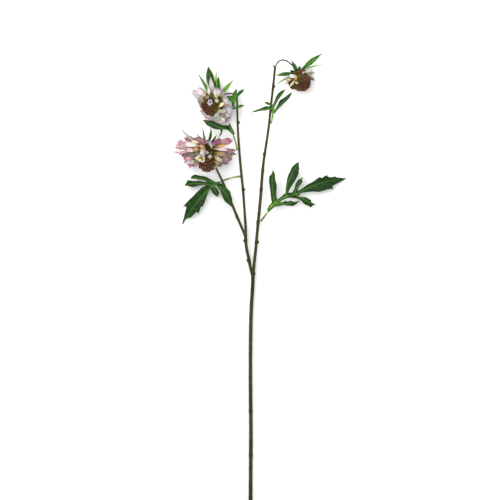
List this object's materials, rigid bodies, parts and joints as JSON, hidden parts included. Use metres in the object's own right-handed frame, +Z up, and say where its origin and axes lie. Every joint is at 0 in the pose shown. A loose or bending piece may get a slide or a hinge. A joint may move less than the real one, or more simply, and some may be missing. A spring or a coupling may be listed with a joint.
{
  "type": "scabiosa flower spray",
  "caption": "Cut scabiosa spray lying down: a slim forked stem with nodding blooms of ruffled petals round beaded heads, and deeply cut leaves.",
  "frame": {"origin": "on the surface the spray lies on, under the middle of its box", "axes": "+Y along the stem from its cut end to the blooms, +Z up from the surface"},
  "size_m": [0.2069, 0.5458, 0.0486],
  "materials": {
    "stem": "matte",
    "leaf": "satin",
    "bract": "satin",
    "petal_pink": "matte",
    "petal_white": "matte",
    "beads": "satin"
  },
  "bodies": {
    "root": {"stem": "stem", "leaf_right_large": "leaf", "leaf_left_large": "leaf", "leaf_left_middle": "leaf", "leaf_right_upper": "leaf", "leaf_left_upper": "leaf", "bloom_low_left_bracts": "bract", "bloom_low_left_petals": "petal_pink", "bloom_low_left_head": "beads", "bloom_upper_left_bracts": "bract", "bloom_upper_left_petals": "petal_white", "bloom_upper_left_head": "beads", "bloom_right_bracts": "bract", "bloom_right_petals": "petal_white", "bloom_right_head": "beads"}
  },
  "joints": []
}
